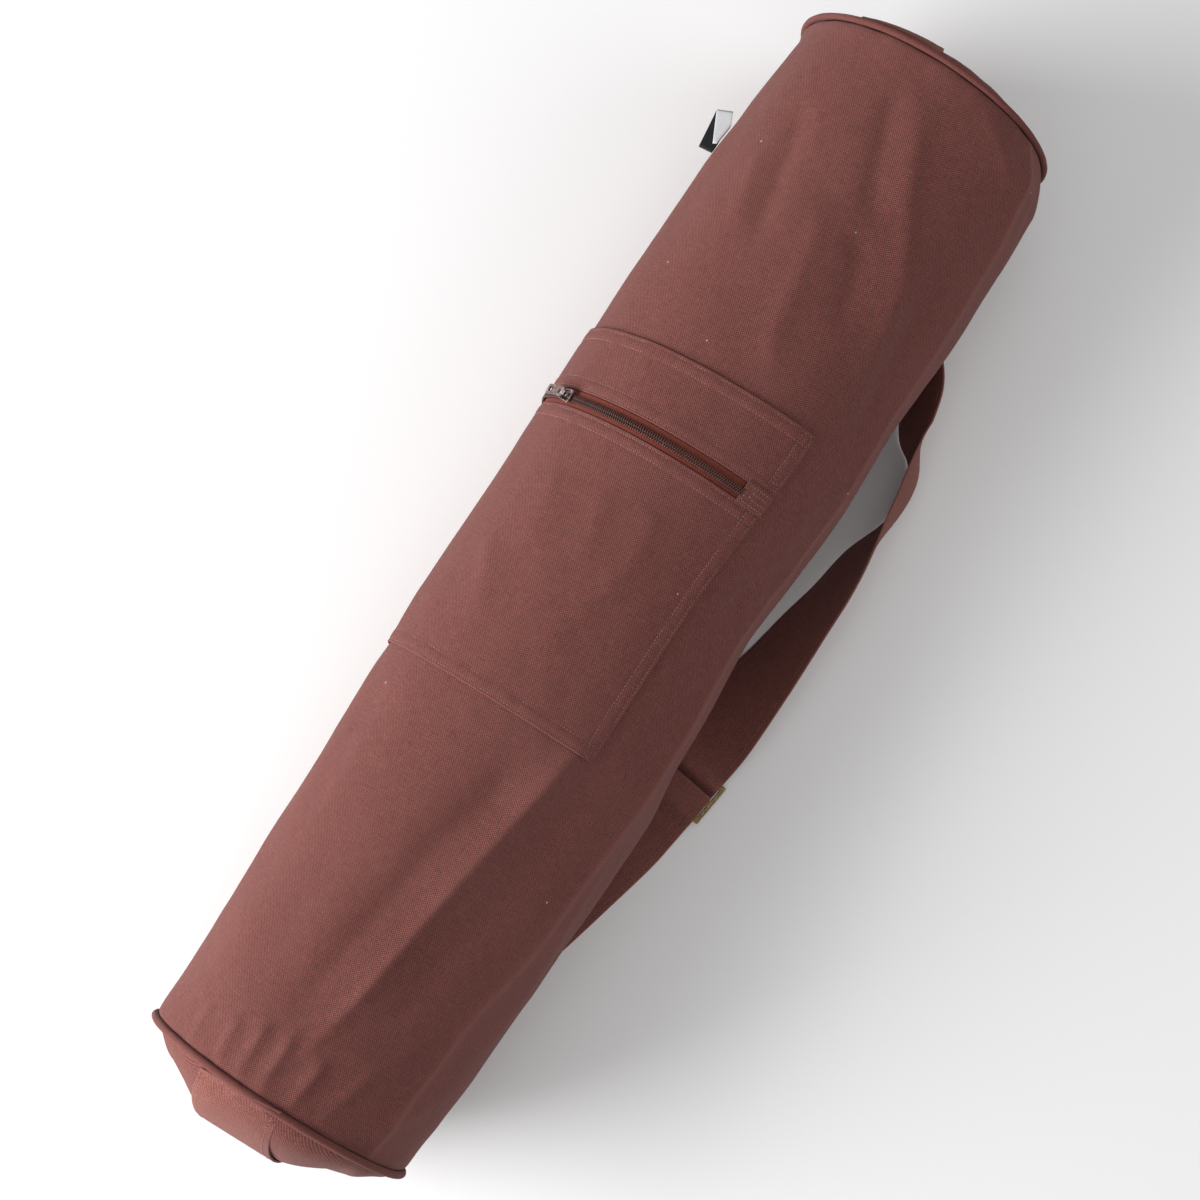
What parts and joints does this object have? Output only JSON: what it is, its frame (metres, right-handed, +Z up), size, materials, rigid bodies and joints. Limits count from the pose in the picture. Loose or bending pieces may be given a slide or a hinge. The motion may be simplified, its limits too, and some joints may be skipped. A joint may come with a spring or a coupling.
{
  "type": "yoga mat bag",
  "caption": "Soft cylindrical canvas bag for a rolled yoga mat, lying flat, with piped end panels, a zipped patch pocket and a shoulder strap with a slider.",
  "frame": {"origin": "on the flat underside that rests on the floor, halfway between the two piped seams and under the tube's axis", "axes": "+X along the bag towards its top end, +Z up, -Y towards the side where the strap lies"},
  "size_m": [0.7209, 0.2242, 0.1657],
  "materials": {
    "canvas": "matte plain weave",
    "piping_canvas": "matte plain weave",
    "zip_tape": "matte woven tape",
    "zip_coil": "satin",
    "zip_metal": "dark nickel plate",
    "strap_metal": "worn antique plate",
    "label_white": "satin ribbon",
    "label_black": "satin ribbon"
  },
  "bodies": {
    "root": {"body_tube": "canvas", "end_panel_top": "canvas", "end_panel_bottom": "canvas", "piping_top": "piping_canvas", "piping_bottom": "piping_canvas", "pocket_band": "canvas", "pocket_panel": "canvas", "zip_tape": "zip_tape", "zip_coil": "zip_coil", "zip_end_tab": "canvas", "zip_slider": "zip_metal", "zip_pull": "zip_metal", "strap": "canvas", "strap_anchor": "canvas", "strap_slider": "strap_metal", "strap_ring": "strap_metal", "closing_zip": "zip_tape", "label_white": "label_white", "label_black": "label_black"}
  },
  "joints": []
}
